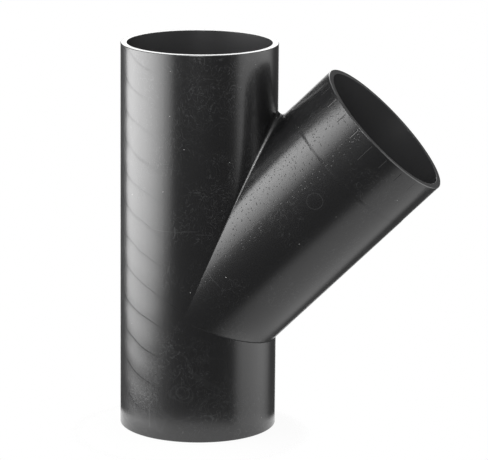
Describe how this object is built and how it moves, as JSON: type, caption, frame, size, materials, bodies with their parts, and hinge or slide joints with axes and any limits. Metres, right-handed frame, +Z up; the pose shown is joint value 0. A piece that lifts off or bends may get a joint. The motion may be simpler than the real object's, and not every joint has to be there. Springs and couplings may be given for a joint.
{
  "type": "lateral wye pipe fitting",
  "caption": "Upright run of plain pipe with one equal branch rising from its side at a shallow slant, all ends open with square spigots, moulded in one piece.",
  "frame": {"origin": "centre of the run's lower end face, which rests on the ground", "axes": "+Z up along the run, +X towards the side the branch leaves on, Y across the plane that holds both axes"},
  "size_m": [0.2243, 0.11, 0.273],
  "materials": {
    "black_polyethylene": "glossy black moulded polyethylene with faint flow marks"
  },
  "bodies": {
    "root": {"wye_body": "black_polyethylene"}
  },
  "joints": []
}
